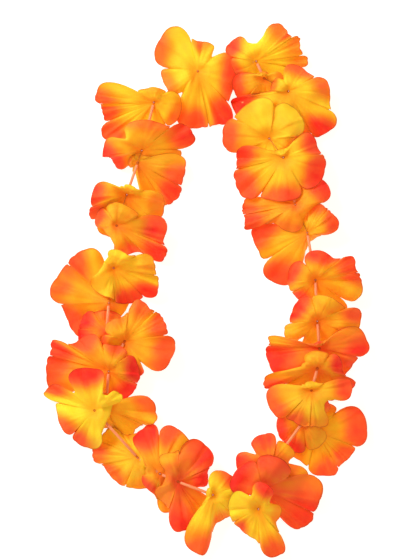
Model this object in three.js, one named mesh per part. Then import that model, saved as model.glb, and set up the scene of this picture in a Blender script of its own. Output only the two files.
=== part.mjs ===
// A flower lei laid flat: printed fabric flowers on a loop of thread, with plastic tubes between them.
// Each flower is one die-cut sheet of five or six lobes, pierced at its hub by the thread.
// The loop lies on a table, so every sheet is squashed into a sheet of folds and curls over the plan,
// and the sheets lie over one another in a fixed order, like shingles.
import * as THREE from "three";

const { lerp, mapLinear } = THREE.MathUtils;

// Driving dimensions, in millimetres.
const PIXEL = 0.95; // one pixel of the photograph at the table
const PLAN_CENTRE = { x: 205, y: 290 }; // photograph pixel over the origin
const PETAL_LENGTH = 48; // hub to tip along the fabric
const LOBE_HALF_WIDTH = 20.5;
const FABRIC = 0.66; // thickness of the stiffened fabric
const LEAST_GAP = 0.3; // between two pieces that touch
const HOLE_RADIUS = 1.5; // pierced hole at a flower's hub
const THREAD_RADIUS = 0.4;
const TUBE_RADIUS = 1.3;
const TUBE_BORE_RADIUS = 0.85;
const TUBE_END_GAP = 2.6; // hub to the tube's end

// Shape of a lobe.
const NOTCH = 0.68; // reach where two full lobes part, as a share of the petal's length
const WIDE_NOTCH = 0.5; // the same where the lobes stand well apart
const LAPPED_NOTCH = 0.92; // the same where one lobe lies well over the next
const TIP_ROUNDING = 1.04; // reach of the rounded edge over the tip that is given
const TIP_DIP = 0.015; // how far the middle of a tip lies back from the edge beside it
const APART_FILL = 0.6; // share of the angle between two lobes that they fill where they stand well apart
const LAPPED_FILL = 1.7; // the same where one lies well over the next
const WIDEST_AT = 0.74;
const WIDEST_SINE = 0.86; // keeps a short wide lobe from reaching round its hub
const ROOM_SHARE = 0.97; // how much of the angle to its neighbour a lobe may take
const RING_SHARES = [0.3, 0.66, 1];
const SPOKES = [-0.86, -0.44, 0, 0.44, 0.86]; // across a lobe, between its two notches
const HUB_TILT = 1.25; // slope of the sheet where the thread pierces it
const HUB_TILT_REACH = 7;
const HUB_LIFT = 1.1; // where the sheet lies wholly over or under the thread
const MOST_ARCH = 11;
const ARCH_LEAN = 0.3; // moves the highest place of an arched lobe towards its hub
const USUAL_CUP = 2.5; // rise of a lobe's sides over its middle
const EDGE_WAVE = 1.3;

// Every flower: its hub and the tips of its lobes in photograph pixels, and heights in millimetres.
// A lobe is [x, y, height of the tip, share of the full width, cup], the last two optional.
// A tip whose height is below 0 is pressed flat on the table. A flower with a higher level lies over one
// with a lower level.
const FLOWERS = [
  { hub: [198, 72, 18], level: 1, lobes: [
    [166, 34, 20, 1.35], [203, 42, 16, 0.5], [238, 80, 14, 1.1], [220, 122, -4], [194, 126, 0],
    [163, 80, -4],
  ] },
  { hub: [154, 103, 20], level: 2, lobes: [
    [96, 92, 18, 0.9], [100, 112, 9, 0.7], [107, 133, -4], [146, 144, -12], [182, 107, 13],
    [155, 88, 32, 0.45],
  ] },
  { hub: [142, 151, 21], level: 3, lobes: [
    [103, 155, 26, 0.75, 6], [116, 163, -4, 0.7], [174, 172, -4], [192, 131, 19, 0.85], [150, 121, 36],
  ] },
  { hub: [138, 163, 20], level: 3.3, lobes: [
    [186, 169, 13], [174, 202, 0], [158, 207, -12, 0.6], [129, 160, 12, 0.6], [141, 154, 21, 0.5],
  ] },
  { hub: [127, 195, 22], level: 4, lobes: [
    [92, 197, 28, 0.75], [89, 213, 12, 0.4], [113, 236, 0, 0.8], [146, 241, 14], [165, 206, 15],
    [134, 187, 36],
  ] },
  { hub: [117, 226, 21], level: 4.5, lobes: [
    [97, 214, 0, 0.5], [128, 254, -4, 0.9], [167, 254, 13], [164, 231, 13, 0.9], [120, 203, 28],
  ] },
  { hub: [114, 268, 22], level: 5.5, lobes: [
    [104, 296, 4, 0.8], [128, 304, -4], [159, 288, 15, 1.05], [155, 263, 24], [124, 252, 37, 0.8],
  ] },
  { hub: [109, 303, 20], level: 5, lobes: [
    [79, 252, 24, 0.9], [54, 286, 14, 1.25], [71, 327, -12], [92, 345, -12, 0.8], [140, 305, -12],
  ] },
  { hub: [107, 331, 21], level: 5.2, lobes: [
    [78, 340, -12], [98, 350, -12], [138, 346, -12], [104, 310, 0, 0.6], [82, 318, 0],
  ] },
  { hub: [125, 341, 23], level: 5.8, lobes: [
    [156, 306, 25], [170, 354, 19, 1.05], [133, 378, 16, 0.5, 5], [103, 351, 24, 0.6],
    [116, 318, 30, 0.6],
  ] },
  { hub: [109, 371, 22], level: 6.5, lobes: [
    [46, 366, 15, 1.2], [55, 346, 19, 0.85], [85, 338, 22, 0.9], [118, 345, 33, 0.6],
    [140, 372, 17, 0.9], [132, 394, 0],
  ] },
  { hub: [106, 407, 22], level: 7, lobes: [
    [155, 414, 12, 1.1], [134, 433, -4, 0.8], [104, 428, -4, 0.6], [84, 408, 0, 0.8],
    [110, 393, 18, 0.5],
  ] },
  { hub: [95, 410, 24], level: 8, lobes: [
    [85, 367, 36], [46, 391, 0, 0.6], [59, 421, 12, 0.85], [84, 447, 0, 0.75], [121, 393, 30, 0.3, 5],
  ] },
  { hub: [138, 457, 20], level: 7.5, lobes: [
    [92, 453, 0], [110, 476, -12], [143, 489, -12], [153, 463, 10, 0.5], [130, 434, -4, 0.5],
    [112, 437, -4, 0.6],
  ] },
  { hub: [160, 473, 22], level: 8.5, lobes: [
    [178, 429, 22], [146, 430, 10, 0.9], [196, 462, 14, 0.8], [190, 500, -4, 0.6], [168, 513, -12],
    [150, 491, -4, 0.7],
  ] },
  { hub: [178, 481, 22], level: 9, lobes: [
    [182, 530, 13, 1.05], [160, 500, -12, 0.5], [168, 452, 25, 0.5], [208, 449, 18, 1.2],
    [210, 477, 16, 0.5], [206, 512, -4, 0.55],
  ] },
  { hub: [213, 494, 23], level: 10, lobes: [
    [200, 551, 12, 1.4], [220, 520, -4, 0.9], [243, 501, 12], [229, 473, 27], [206, 494, 16, 0.3],
  ] },
  { hub: [258, 508, 24], level: 11, lobes: [
    [245, 533, 13, 0.95], [277, 555, 14, 1.1], [282, 512, 0, 0.6], [266, 480, 36, 0.6],
    [228, 508, 15, 0.8],
  ] },
  { hub: [262, 488, 22], level: 10.5, lobes: [
    [321, 494, 12, 1.15], [302, 524, 0, 1.1], [261, 500, 8, 0.5], [234, 472, 16], [275, 455, 35, 0.8],
  ] },
  { hub: [271, 465, 22], level: 9.5, lobes: [
    [236, 464, 14, 0.6], [265, 434, 29, 0.65], [288, 444, 26, 0.5], [310, 479, 12, 0.95],
    [286, 500, -4],
  ] },
  { hub: [303, 421, 21], level: 8.7, lobes: [
    [277, 430, 12, 0.7], [290, 451, 0, 0.7], [324, 452, -4, 0.7], [326, 398, 20, 0.5],
    [290, 390, 22, 0.5],
  ] },
  { hub: [316, 431, 20], level: 8, lobes: [
    [367, 427, 14, 1.15], [348, 458, -12, 0.9], [329, 473, -12, 1.1], [290, 444, -12, 0.85],
    [320, 400, 0, 0.7],
  ] },
  { hub: [311, 390, 24], level: 9.3, lobes: [
    [267, 403, 20, 1.05], [297, 424, 16, 0.7], [318, 427, 20, 0.5, 6], [356, 379, 14, 0.85],
    [313, 381, 26, 0.5, 5],
  ] },
  { hub: [317, 368, 22], level: 7.5, lobes: [
    [263, 383, 13, 0.4], [290, 402, -12, 0.7], [342, 393, -12, 0.7], [354, 372, 14, 0.8],
    [316, 352, 30, 0.8],
  ] },
  { hub: [319, 348, 22], level: 7, lobes: [
    [266, 356, 12, 1.05], [268, 340, 20, 0.5], [316, 342, 24, 0.5], [367, 344, 18, 1.05],
    [345, 374, -4, 0.8],
  ] },
  { hub: [317, 321, 22], level: 6, lobes: [
    [298, 306, 17, 0.9], [284, 333, 15, 0.6], [330, 352, -4], [361, 314, 19, 0.95], [330, 297, 35],
  ] },
  { hub: [315, 280, 21], level: 5, lobes: [
    [289, 278, 17], [299, 300, 0, 0.9], [335, 320, -12, 0.8], [362, 283, 17], [355, 263, 24],
    [322, 255, 33],
  ] },
  { hub: [307, 233, 20], level: 3, lobes: [
    [253, 241, 13], [277, 284, -4, 1.1], [313, 240, 4, 0.3], [333, 217, 20, 1.15], [300, 216, 14, 0.6],
  ] },
  { hub: [295, 205, 23], level: 3.5, lobes: [
    [242, 208, 14, 0.55], [243, 221, 18, 0.7], [280, 228, 16, 0.9], [324, 181, 14, 0.8],
    [290, 182, 14, 0.7],
  ] },
  { hub: [283, 158, 26], level: 4.4, lobes: [
    [238, 155, 19, 0.9], [239, 188, 13, 1.2], [280, 202, 15], [325, 171, 19, 1.15], [316, 142, 24, 0.9],
    [280, 150, 27, 0.4],
  ] },
  { hub: [269, 139, 24], level: 4, lobes: [
    [225, 134, 25, 1.05], [248, 104, 30], [300, 115, 28], [290, 151, 20, 0.6], [262, 162, 14, 0.7],
  ] },
  { hub: [288, 92, 21], level: 2, lobes: [
    [326, 91, 16, 1.05], [330, 127, 11, 1.2], [290, 134, -12], [231, 103, -4, 1.1], [270, 90, 16, 0.5],
    [302, 68, 14, 0.7],
  ] },
  { hub: [264, 79, 22], level: 1.6, lobes: [
    [238, 88, 17, 0.7], [256, 106, 13, 0.7], [288, 104, 0], [282, 84, 16, 0.5], [262, 73, 22, 0.5],
  ] },
  { hub: [256, 62, 19], level: 1, lobes: [
    [293, 34, 14, 1.1], [308, 61, 4, 0.33], [290, 84, -4, 0.6], [236, 76, 11], [228, 48, 17, 0.85],
  ] },
];

// Stretches of bare thread, hidden between flowers that sit close, by the flower before them.
const BARE_STRETCHES = [2, 4, 6, 8, 11, 17, 20, 23, 27, 29, 31];

// Stretches of the loop that don't lie midway between their two flowers' levels, by the flower before them.
const STRETCH_LEVELS = { 0: 0.8, 2: 3.5, 3: 3.5, 5: 4.4, 7: 5.3, 13: 7.4, 16: 9.9, 30: 1.9, 33: 0.5 };

const onPlan = (x, y) => new THREE.Vector2((x - PLAN_CENTRE.x) * PIXEL, (PLAN_CENTRE.y - y) * PIXEL);

// Steady pseudo-random numbers from 0 to 1.
function seeded(seed) {
  let state = seed * 7919 + 13;
  return () => {
    state = (state * 1664525 + 1013904223) % 4294967296;
    return state / 4294967296;
  };
}

const wrapped = (angle) => THREE.MathUtils.euclideanModulo(angle, 2 * Math.PI);

// The lobes of a flower in order round its hub, each with its angle, length, half-angle and heights.
function lobesOf(flower) {
  const hub = onPlan(flower.hub[0], flower.hub[1]);
  const lobes = flower.lobes.map(([x, y, height, share = 1, cup = USUAL_CUP]) => {
    const reach = onPlan(x, y).sub(hub);
    const length = reach.length() * TIP_ROUNDING;
    const sine = (LOBE_HALF_WIDTH * share) / (WIDEST_AT * length);
    const halfAngle = Math.asin(Math.min(WIDEST_SINE, sine));
    const chord = Math.hypot(length, height - flower.hub[2]);
    const spare = Math.max(0, PETAL_LENGTH - chord);
    // The rise of a flat arc whose length is the chord and the spare fabric.
    const arch = Math.min(MOST_ARCH, Math.sqrt((3 / 8) * spare * chord));
    return { angle: wrapped(reach.angle()), length, halfAngle, height, arch, cup };
  });
  return lobes.sort((a, b) => a.angle - b.angle);
}

// The angle between two neighbouring lobes where they part.
function partingAngle(lobe, next) {
  const between = wrapped(next.angle - lobe.angle);
  return lobe.angle + (between * lobe.halfAngle) / (lobe.halfAngle + next.halfAngle);
}

// How far out the fabric is whole between two neighbouring lobes: less where they stand apart, more where
// they lap.
function notchBetween(lobe, next) {
  const filled = (lobe.halfAngle + next.halfAngle) / wrapped(next.angle - lobe.angle);
  if (filled > 1) return mapLinear(Math.min(filled, LAPPED_FILL), 1, LAPPED_FILL, NOTCH, LAPPED_NOTCH);
  return mapLinear(Math.max(filled, APART_FILL), APART_FILL, 1, WIDE_NOTCH, NOTCH);
}

// Spokes of the sheet round the hub: each has an angle, its reach and outline share, and its height rule.
function spokesOf(lobes) {
  const spokes = [];
  lobes.forEach((lobe, i) => {
    const before = lobes[(i + lobes.length - 1) % lobes.length];
    const next = lobes[(i + 1) % lobes.length];
    const start = wrapped(lobe.angle - partingAngle(before, lobe));
    const end = wrapped(partingAngle(lobe, next) - lobe.angle);
    const startNotch = notchBetween(before, lobe);
    const endNotch = notchBetween(lobe, next);
    spokes.push({ lobe, other: before, across: -1, at: lobe.angle - start, blend: 0.5, outline: startNotch });
    for (const share of SPOKES) {
      const room = share < 0 ? start : end;
      const notch = share < 0 ? startNotch : endNotch;
      const other = share < 0 ? before : next;
      const turn = share * Math.min(room * ROOM_SHARE, lobe.halfAngle);
      const round = notch + (1 - notch) * Math.sqrt(1 - Math.abs(share) ** 4);
      const outline = share === 0 ? round - TIP_DIP : round;
      const blend = 0.5 * (Math.abs(turn) / room) ** 4;
      spokes.push({ lobe, other, across: share, at: lobe.angle + turn, blend, outline });
    }
  });
  return spokes;
}

// The sheet of a flower as a surface over the plan: rings of points from the hole to the lobed edge.
function flowerSheet(flower, { front, lift }, seed) {
  const random = seeded(seed);
  const hub = onPlan(flower.hub[0], flower.hub[1]);
  const hubHeight = flower.hub[2] + lift;
  const lobes = lobesOf(flower);
  const spokes = spokesOf(lobes);
  const sheet = { level: flower.level, x: [], y: [], z: [], fixed: [], triangles: [], rings: [] };
  const lobeHeight = (lobe, share) =>
    (lobe.height - hubHeight) * share + lobe.arch * 4 * share * (1 - share) * (1 - ARCH_LEAN * share);

  function addPoint(spoke, share, fixed) {
    const length = spoke.lobe.length ** (1 - spoke.blend) * spoke.other.length ** spoke.blend;
    const reach = Math.max(HOLE_RADIUS, share * length * (1 - share * (1 - spoke.outline)));
    const offset = new THREE.Vector2(Math.cos(spoke.at), Math.sin(spoke.at)).multiplyScalar(reach);
    const rise = lerp(lobeHeight(spoke.lobe, share), lobeHeight(spoke.other, share), spoke.blend);
    const cup = lerp(spoke.lobe.cup, spoke.other.cup, spoke.blend) * spoke.across ** 2 * share ** 2;
    const wave = share === 1 && spoke.across !== 0 ? (random() - 0.5) * 2 * EDGE_WAVE : 0;
    const tilt = HUB_TILT * offset.dot(front) * Math.exp(-((reach / HUB_TILT_REACH) ** 2));
    sheet.x.push(hub.x + offset.x);
    sheet.y.push(hub.y + offset.y);
    sheet.z.push(hubHeight + (fixed ? 0 : rise + cup + wave) - tilt);
    sheet.fixed.push(fixed);
    return sheet.x.length - 1;
  }

  const few = spokes.filter((spoke) => spoke.across === -1 || spoke.across === 0);
  sheet.rings.push(few.map((spoke) => addPoint(spoke, 0, true)));
  sheet.rings.push(few.map((spoke) => addPoint(spoke, RING_SHARES[0], false)));
  sheet.rings.push(spokes.map((spoke) => addPoint(spoke, RING_SHARES[1], false)));
  sheet.rings.push(spokes.map((spoke) => addPoint(spoke, RING_SHARES[2], false)));
  joinRings(sheet, sheet.rings[0], sheet.rings[1]);
  joinRings(sheet, sheet.rings[1], sheet.rings[2]);
  joinRings(sheet, sheet.rings[2], sheet.rings[3]);
  return sheet;
}

// Triangles between two rings, where the outer one has as many points or three times as many.
function joinRings(sheet, inner, outer) {
  const times = outer.length / inner.length;
  inner.forEach((from, i) => {
    const to = inner[(i + 1) % inner.length];
    const first = i * times;
    const middle = first + Math.floor(times / 2) + (times > 1 && i % 2 === 0 ? 1 : 0);
    for (let k = first; k < first + times; k += 1) {
      const corner = k < middle ? from : to;
      if (k === middle) sheet.triangles.push([from, outer[k % outer.length], to]);
      sheet.triangles.push([corner, outer[k % outer.length], outer[(k + 1) % outer.length]]);
    }
  });
}

// A stretch of thread or tube as a flat strip over the plan, which the sheets keep clear of.
function stretchStrip(from, to, radius, level) {
  const along = new THREE.Vector2(to.x - from.x, to.y - from.y);
  const across = new THREE.Vector2(-along.y, along.x).setLength(radius);
  const x = [from.x - across.x, from.x + across.x, to.x + across.x, to.x - across.x];
  const y = [from.y - across.y, from.y + across.y, to.y + across.y, to.y - across.y];
  const z = [from.z, from.z, to.z, to.z];
  const triangles = [[0, 2, 1], [0, 3, 2]];
  return { level, x, y, z, fixed: [true, true, true, true], triangles, strip: radius };
}

// Settling: sheets that share a place on the plan are pushed apart in height until each lies clear of the
// next.
const SETTLING_ROUNDS = 260;
const LAST_ROUNDS = 140;
const SPREAD = 0.3;
const PULL = 0.02;
const STEEPEST_SHARE = 2.4;
const LEAST_FREEDOM = 0.01; // places held almost wholly by fixed points are left alone

const cross = (ax, ay, bx, by) => ax * by - ay * bx;

// The weights of the three corners of a triangle at a place on the plan, or null outside it.
function weightsAt(sheet, [a, b, c], x, y) {
  const bx = sheet.x[b] - sheet.x[a];
  const by = sheet.y[b] - sheet.y[a];
  const cx = sheet.x[c] - sheet.x[a];
  const cy = sheet.y[c] - sheet.y[a];
  const area = cross(bx, by, cx, cy);
  const u = cross(x - sheet.x[a], y - sheet.y[a], cx, cy) / area;
  const v = cross(bx, by, x - sheet.x[a], y - sheet.y[a]) / area;
  return u >= 0 && v >= 0 && u + v <= 1 ? [1 - u - v, u, v] : null;
}

function edgesOf(sheet) {
  const seen = new Set();
  const edges = [];
  for (const [a, b, c] of sheet.triangles) {
    for (const [p, q] of [[a, b], [b, c], [c, a]]) {
      const key = Math.min(p, q) + "_" + Math.max(p, q);
      if (!seen.has(key)) edges.push([p, q]);
      seen.add(key);
    }
  }
  return edges;
}

// Every place where a point of one sheet lies over a triangle of the other, or two edges cross on the plan.
function meetings(upper, lower) {
  const found = [];
  const pointsOver = (points, faces, flip) => {
    for (let i = 0; i < points.x.length; i += 1) {
      for (const triangle of faces.triangles) {
        const weights = weightsAt(faces, triangle, points.x[i], points.y[i]);
        if (!weights) continue;
        const point = { corners: [i], weights: [1] };
        const face = { corners: triangle, weights };
        found.push(flip ? { above: face, below: point } : { above: point, below: face });
        break;
      }
    }
  };
  pointsOver(upper, lower, false);
  pointsOver(lower, upper, true);
  for (const [a, b] of upper.edges) {
    const dx = upper.x[b] - upper.x[a];
    const dy = upper.y[b] - upper.y[a];
    for (const [c, d] of lower.edges) {
      const ex = lower.x[d] - lower.x[c];
      const ey = lower.y[d] - lower.y[c];
      const det = cross(dx, dy, ex, ey);
      if (Math.abs(det) < 1e-9) continue;
      const gx = lower.x[c] - upper.x[a];
      const gy = lower.y[c] - upper.y[a];
      const s = cross(gx, gy, ex, ey) / det;
      const t = cross(gx, gy, dx, dy) / det;
      if (s <= 0 || s >= 1 || t <= 0 || t >= 1) continue;
      const above = { corners: [a, b], weights: [1 - s, s] };
      const below = { corners: [c, d], weights: [1 - t, t] };
      found.push({ above, below });
    }
  }
  return found;
}

const spanOf = (values) => [Math.min(...values), Math.max(...values)];
const boxOf = (sheet) => [...spanOf(sheet.x), ...spanOf(sheet.y)];
const apart = (a, b) => a[1] < b[0] || b[1] < a[0] || a[3] < b[2] || b[3] < a[2];

// Half the sheet's thickness, measured straight up: more where the sheet is steep.
function setHalfThickness(sheet) {
  const steepness = sheet.x.map(() => 1);
  if (sheet.strip === undefined) {
    for (const [a, b, c] of sheet.triangles) {
      const corner = (i) => new THREE.Vector3(sheet.x[i], sheet.y[i], sheet.z[i]);
      const normal = corner(b).sub(corner(a)).cross(corner(c).sub(corner(a))).normalize();
      const share = Math.min(STEEPEST_SHARE, 1 / Math.max(0.01, Math.abs(normal.z)));
      for (const i of [a, b, c]) steepness[i] = Math.max(steepness[i], share);
    }
  }
  sheet.half = steepness.map((share) => (sheet.strip === undefined ? (FABRIC / 2) * share : sheet.strip));
}

const heightOf = (sheet, place, key) => {
  let total = 0;
  place.corners.forEach((corner, i) => {
    total += place.weights[i] * sheet[key][corner];
  });
  return total;
};

function settle(sheets) {
  const pairs = [];
  for (const sheet of sheets) {
    sheet.edges = edgesOf(sheet);
    sheet.box = boxOf(sheet);
    sheet.target = [...sheet.z];
    setHalfThickness(sheet);
  }
  sheets.forEach((one, i) => {
    for (const two of sheets.slice(i + 1)) {
      if (apart(one.box, two.box) || (one.strip !== undefined && two.strip !== undefined)) continue;
      const [upper, lower] = one.level > two.level ? [one, two] : [two, one];
      const places = meetings(upper, lower);
      if (places.length) pairs.push({ upper, lower, places });
    }
  });

  function pushApart() {
    for (const { upper, lower, places } of pairs) {
      for (const { above, below } of places) {
        const room = heightOf(upper, above, "z") - heightOf(lower, below, "z");
        const needed = heightOf(upper, above, "half") + heightOf(lower, below, "half") + LEAST_GAP;
        if (room >= needed) continue;
        let total = 0;
        above.corners.forEach((corner, i) => (total += upper.fixed[corner] ? 0 : above.weights[i] ** 2));
        below.corners.forEach((corner, i) => (total += lower.fixed[corner] ? 0 : below.weights[i] ** 2));
        if (total < LEAST_FREEDOM) continue;
        const push = (needed - room) / total;
        above.corners.forEach((corner, i) => {
          if (!upper.fixed[corner]) upper.z[corner] += push * above.weights[i];
        });
        below.corners.forEach((corner, i) => {
          if (!lower.fixed[corner]) lower.z[corner] -= push * below.weights[i];
        });
      }
    }
  }

  function keepOffTable() {
    for (const sheet of sheets) {
      sheet.z.forEach((z, i) => {
        if (!sheet.fixed[i]) sheet.z[i] = Math.max(z, sheet.half[i]);
      });
    }
  }

  function spreadMoves(spread) {
    for (const sheet of sheets) {
      if (sheet.strip !== undefined) continue;
      const moved = sheet.z.map((z, i) => z - sheet.target[i]);
      const sum = moved.map(() => 0);
      const count = moved.map(() => 0);
      for (const [a, b] of sheet.edges) {
        sum[a] += moved[b];
        sum[b] += moved[a];
        count[a] += 1;
        count[b] += 1;
      }
      sheet.z.forEach((_, i) => {
        if (sheet.fixed[i]) return;
        const even = moved[i] + spread * (sum[i] / count[i] - moved[i]);
        sheet.z[i] = sheet.target[i] + even * (1 - PULL);
      });
    }
  }

  for (let round = 0; round < SETTLING_ROUNDS; round += 1) {
    spreadMoves(SPREAD * (1 - round / SETTLING_ROUNDS));
    if (round % 10 === 0) sheets.forEach(setHalfThickness);
    pushApart();
    keepOffTable();
  }
  sheets.forEach(setHalfThickness);
  for (let round = 0; round < LAST_ROUNDS; round += 1) {
    pushApart();
    keepOffTable();
  }
}

// A closed solid from a sheet: its points raised and lowered by half the thickness, with walls round its
// edges.
function sheetSolid(sheet) {
  const count = sheet.x.length;
  const positions = [];
  for (const side of [1, -1]) {
    for (let i = 0; i < count; i += 1) {
      positions.push(sheet.x[i], sheet.y[i], sheet.z[i] + side * sheet.half[i]);
    }
  }
  const index = [];
  for (const [a, b, c] of sheet.triangles) index.push(a, b, c, a + count, c + count, b + count);
  const outer = sheet.rings.at(-1);
  const inner = sheet.rings[0];
  outer.forEach((from, i) => {
    const to = outer[(i + 1) % outer.length];
    index.push(from, from + count, to, to, from + count, to + count);
  });
  inner.forEach((from, i) => {
    const to = inner[(i + 1) % inner.length];
    index.push(from, to, from + count, to, to + count, from + count);
  });
  const geometry = new THREE.BufferGeometry();
  geometry.setAttribute("position", new THREE.Float32BufferAttribute(positions, 3));
  geometry.setIndex(index);
  return geometry;
}

// The loop's hubs as points in space, in order round the lei.
const hubs = FLOWERS.map(({ hub: [x, y, z] }) => {
  const place = onPlan(x, y);
  return new THREE.Vector3(place.x, place.y, z);
});
const after = (i) => (i + 1) % FLOWERS.length;
const stretches = FLOWERS.map((flower, i) => {
  const from = hubs[i];
  const to = hubs[after(i)];
  const level = STRETCH_LEVELS[i] ?? (flower.level + FLOWERS[after(i)].level) / 2;
  return { from, to, level, hasTube: !BARE_STRETCHES.includes(i) };
});

// How a flower's sheet meets the thread at its hub. Where one stretch lies over the flower and the other
// under it, the sheet is pierced and leans to the one over it. Otherwise it lies just over or under both.
function hubSeat(i) {
  const before = (i + FLOWERS.length - 1) % FLOWERS.length;
  const toNext = new THREE.Vector2(hubs[after(i)].x - hubs[i].x, hubs[after(i)].y - hubs[i].y).normalize();
  const toLast = new THREE.Vector2(hubs[before].x - hubs[i].x, hubs[before].y - hubs[i].y).normalize();
  const nextSide = stretches[i].level > FLOWERS[i].level ? 1 : -1;
  const lastSide = stretches[before].level > FLOWERS[i].level ? 1 : -1;
  if (nextSide === lastSide) return { front: new THREE.Vector2(), lift: -nextSide * HUB_LIFT };
  const front = toNext.multiplyScalar(nextSide).addScaledVector(toLast, lastSide).normalize();
  return { front, lift: 0 };
}

const sheets = FLOWERS.map((flower, i) => flowerSheet(flower, hubSeat(i), i + 1));
const strips = stretches.flatMap(({ from, to, level, hasTube }) => {
  const strip = (gap, radius) => {
    const inset = gap / from.distanceTo(to);
    return stretchStrip(from.clone().lerp(to, inset), to.clone().lerp(from, inset), radius, level);
  };
  const bare = strip(HOLE_RADIUS, THREAD_RADIUS);
  return hasTube ? [bare, strip(TUBE_END_GAP, TUBE_RADIUS)] : [bare];
});
settle([...sheets, ...strips]);

// Plastic spacer tube between two hubs.
function tubeMesh(from, to, name) {
  const ring = new THREE.Shape().absarc(0, 0, TUBE_RADIUS, 0, 2 * Math.PI, false);
  ring.holes.push(new THREE.Path().absarc(0, 0, TUBE_BORE_RADIUS, 0, 2 * Math.PI, true));
  const depth = from.distanceTo(to) - 2 * TUBE_END_GAP;
  const geometry = new THREE.ExtrudeGeometry(ring, { depth, curveSegments: 8, bevelEnabled: false });
  const mesh = new THREE.Mesh(geometry, tubePlastic);
  mesh.name = name;
  mesh.position.copy(from).lerp(to, TUBE_END_GAP / from.distanceTo(to));
  mesh.lookAt(to);
  return mesh;
}

const THREAD_SIDES = 6;

// A closed round thread through a list of points.
function threadLoop(points) {
  const positions = [];
  const index = [];
  const count = points.length;
  points.forEach((point, i) => {
    const along = points[(i + 1) % count].clone().sub(points[(i + count - 1) % count]).normalize();
    const side = new THREE.Vector3(-along.y, along.x, 0).normalize();
    const up = side.clone().cross(along).negate();
    for (let k = 0; k < THREAD_SIDES; k += 1) {
      const angle = (k / THREAD_SIDES) * 2 * Math.PI;
      const offset = side.clone().multiplyScalar(Math.cos(angle) * THREAD_RADIUS);
      offset.addScaledVector(up, Math.sin(angle) * THREAD_RADIUS);
      positions.push(point.x + offset.x, point.y + offset.y, point.z + offset.z);
      const here = i * THREAD_SIDES + k;
      const beside = i * THREAD_SIDES + ((k + 1) % THREAD_SIDES);
      const ahead = ((i + 1) % count) * THREAD_SIDES + k;
      const across = ((i + 1) % count) * THREAD_SIDES + ((k + 1) % THREAD_SIDES);
      index.push(here, beside, ahead, beside, across, ahead);
    }
  });
  const geometry = new THREE.BufferGeometry();
  geometry.setAttribute("position", new THREE.Float32BufferAttribute(positions, 3));
  geometry.setIndex(index);
  return geometry;
}

const threadPoints = stretches.flatMap(({ from, to }) => {
  const inset = THREAD_RADIUS / from.distanceTo(to);
  return [from.clone().lerp(to, inset), to.clone().lerp(from, inset)];
});

const fabric = new THREE.MeshStandardMaterial({ color: 0xff8a1e, roughness: 0.85, metalness: 0 });
const tubePlastic = new THREE.MeshStandardMaterial({ color: 0xf6a884, roughness: 0.35, metalness: 0 });
const threadFibre = new THREE.MeshStandardMaterial({ color: 0xf0e6dc, roughness: 0.8, metalness: 0 });

const twoDigits = (i) => String(i + 1).padStart(2, "0");
const lei = new THREE.Group();
sheets.forEach((sheet, i) => {
  const flower = new THREE.Mesh(sheetSolid(sheet), fabric);
  flower.name = "flower_" + twoDigits(i);
  lei.add(flower);
});
stretches.filter(({ hasTube }) => hasTube).forEach(({ from, to }, i) => {
  lei.add(tubeMesh(from, to, "tube_" + twoDigits(i)));
});
const thread = new THREE.Mesh(threadLoop(threadPoints), threadFibre);
thread.name = "thread";
lei.add(thread);

export default lei;
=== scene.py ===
"""The looks of the artificial flower lei: fabric flowers, spacer tubes and thread round the CAD frame."""
import math
from typing import NamedTuple

import bpy
import numpy as np
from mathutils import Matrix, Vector
from mathutils.bvhtree import BVHTree


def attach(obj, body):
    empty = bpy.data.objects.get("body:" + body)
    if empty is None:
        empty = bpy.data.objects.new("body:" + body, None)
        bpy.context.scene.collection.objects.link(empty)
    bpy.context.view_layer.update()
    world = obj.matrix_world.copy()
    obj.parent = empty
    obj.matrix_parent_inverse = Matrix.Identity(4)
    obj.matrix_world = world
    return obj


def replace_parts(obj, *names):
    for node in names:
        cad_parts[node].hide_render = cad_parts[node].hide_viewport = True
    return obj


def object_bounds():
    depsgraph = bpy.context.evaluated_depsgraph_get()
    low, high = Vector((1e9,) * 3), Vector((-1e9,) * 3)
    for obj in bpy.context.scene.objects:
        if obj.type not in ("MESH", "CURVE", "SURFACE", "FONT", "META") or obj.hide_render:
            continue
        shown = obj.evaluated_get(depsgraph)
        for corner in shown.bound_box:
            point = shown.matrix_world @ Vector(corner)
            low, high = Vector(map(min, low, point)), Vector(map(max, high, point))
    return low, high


# Scale and framing of the photograph.
PIXEL = 0.00095  # metres to one pixel at the table
PLAN_CENTRE = (205, 290)  # pixel over the origin
PHOTO_CENTRE = (210, 280)
PHOTO_HEIGHT = 560
CAMERA_HEIGHT = 6.0
SENSOR_WIDTH = 36  # of the camera, in millimetres
VIEW_DEPTH = 50

# Driving dimensions of the pieces, in metres.
LOBE_HALF_WIDTH = 0.0205
FLOWER_REACH = 0.048  # hub to tip of a flower that lies flat
HOLE_RADIUS = 0.0005
FABRIC = 0.0004  # thickness of a sheet
CLEARANCE = 0.0004  # between a sheet and what lies under it
TUBE_RADIUS = 0.0013
TUBE_BORE_RADIUS = 0.00085
TUBE_ROUNDING = 0.25  # of a tube's rims, as a share of its wall
TUBE_END_GAP = 0.0026  # between a hub and the end of a tube
THREAD_RADIUS = 0.0004
TWIST_PITCH = 0.0045  # run of the thread in which its plies make one turn
PLY_OFFSET = 0.45  # of a ply's middle from the thread's, as a share of the thread's radius
PLY_RADIUS = 0.55  # as a share of the thread's radius

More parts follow.
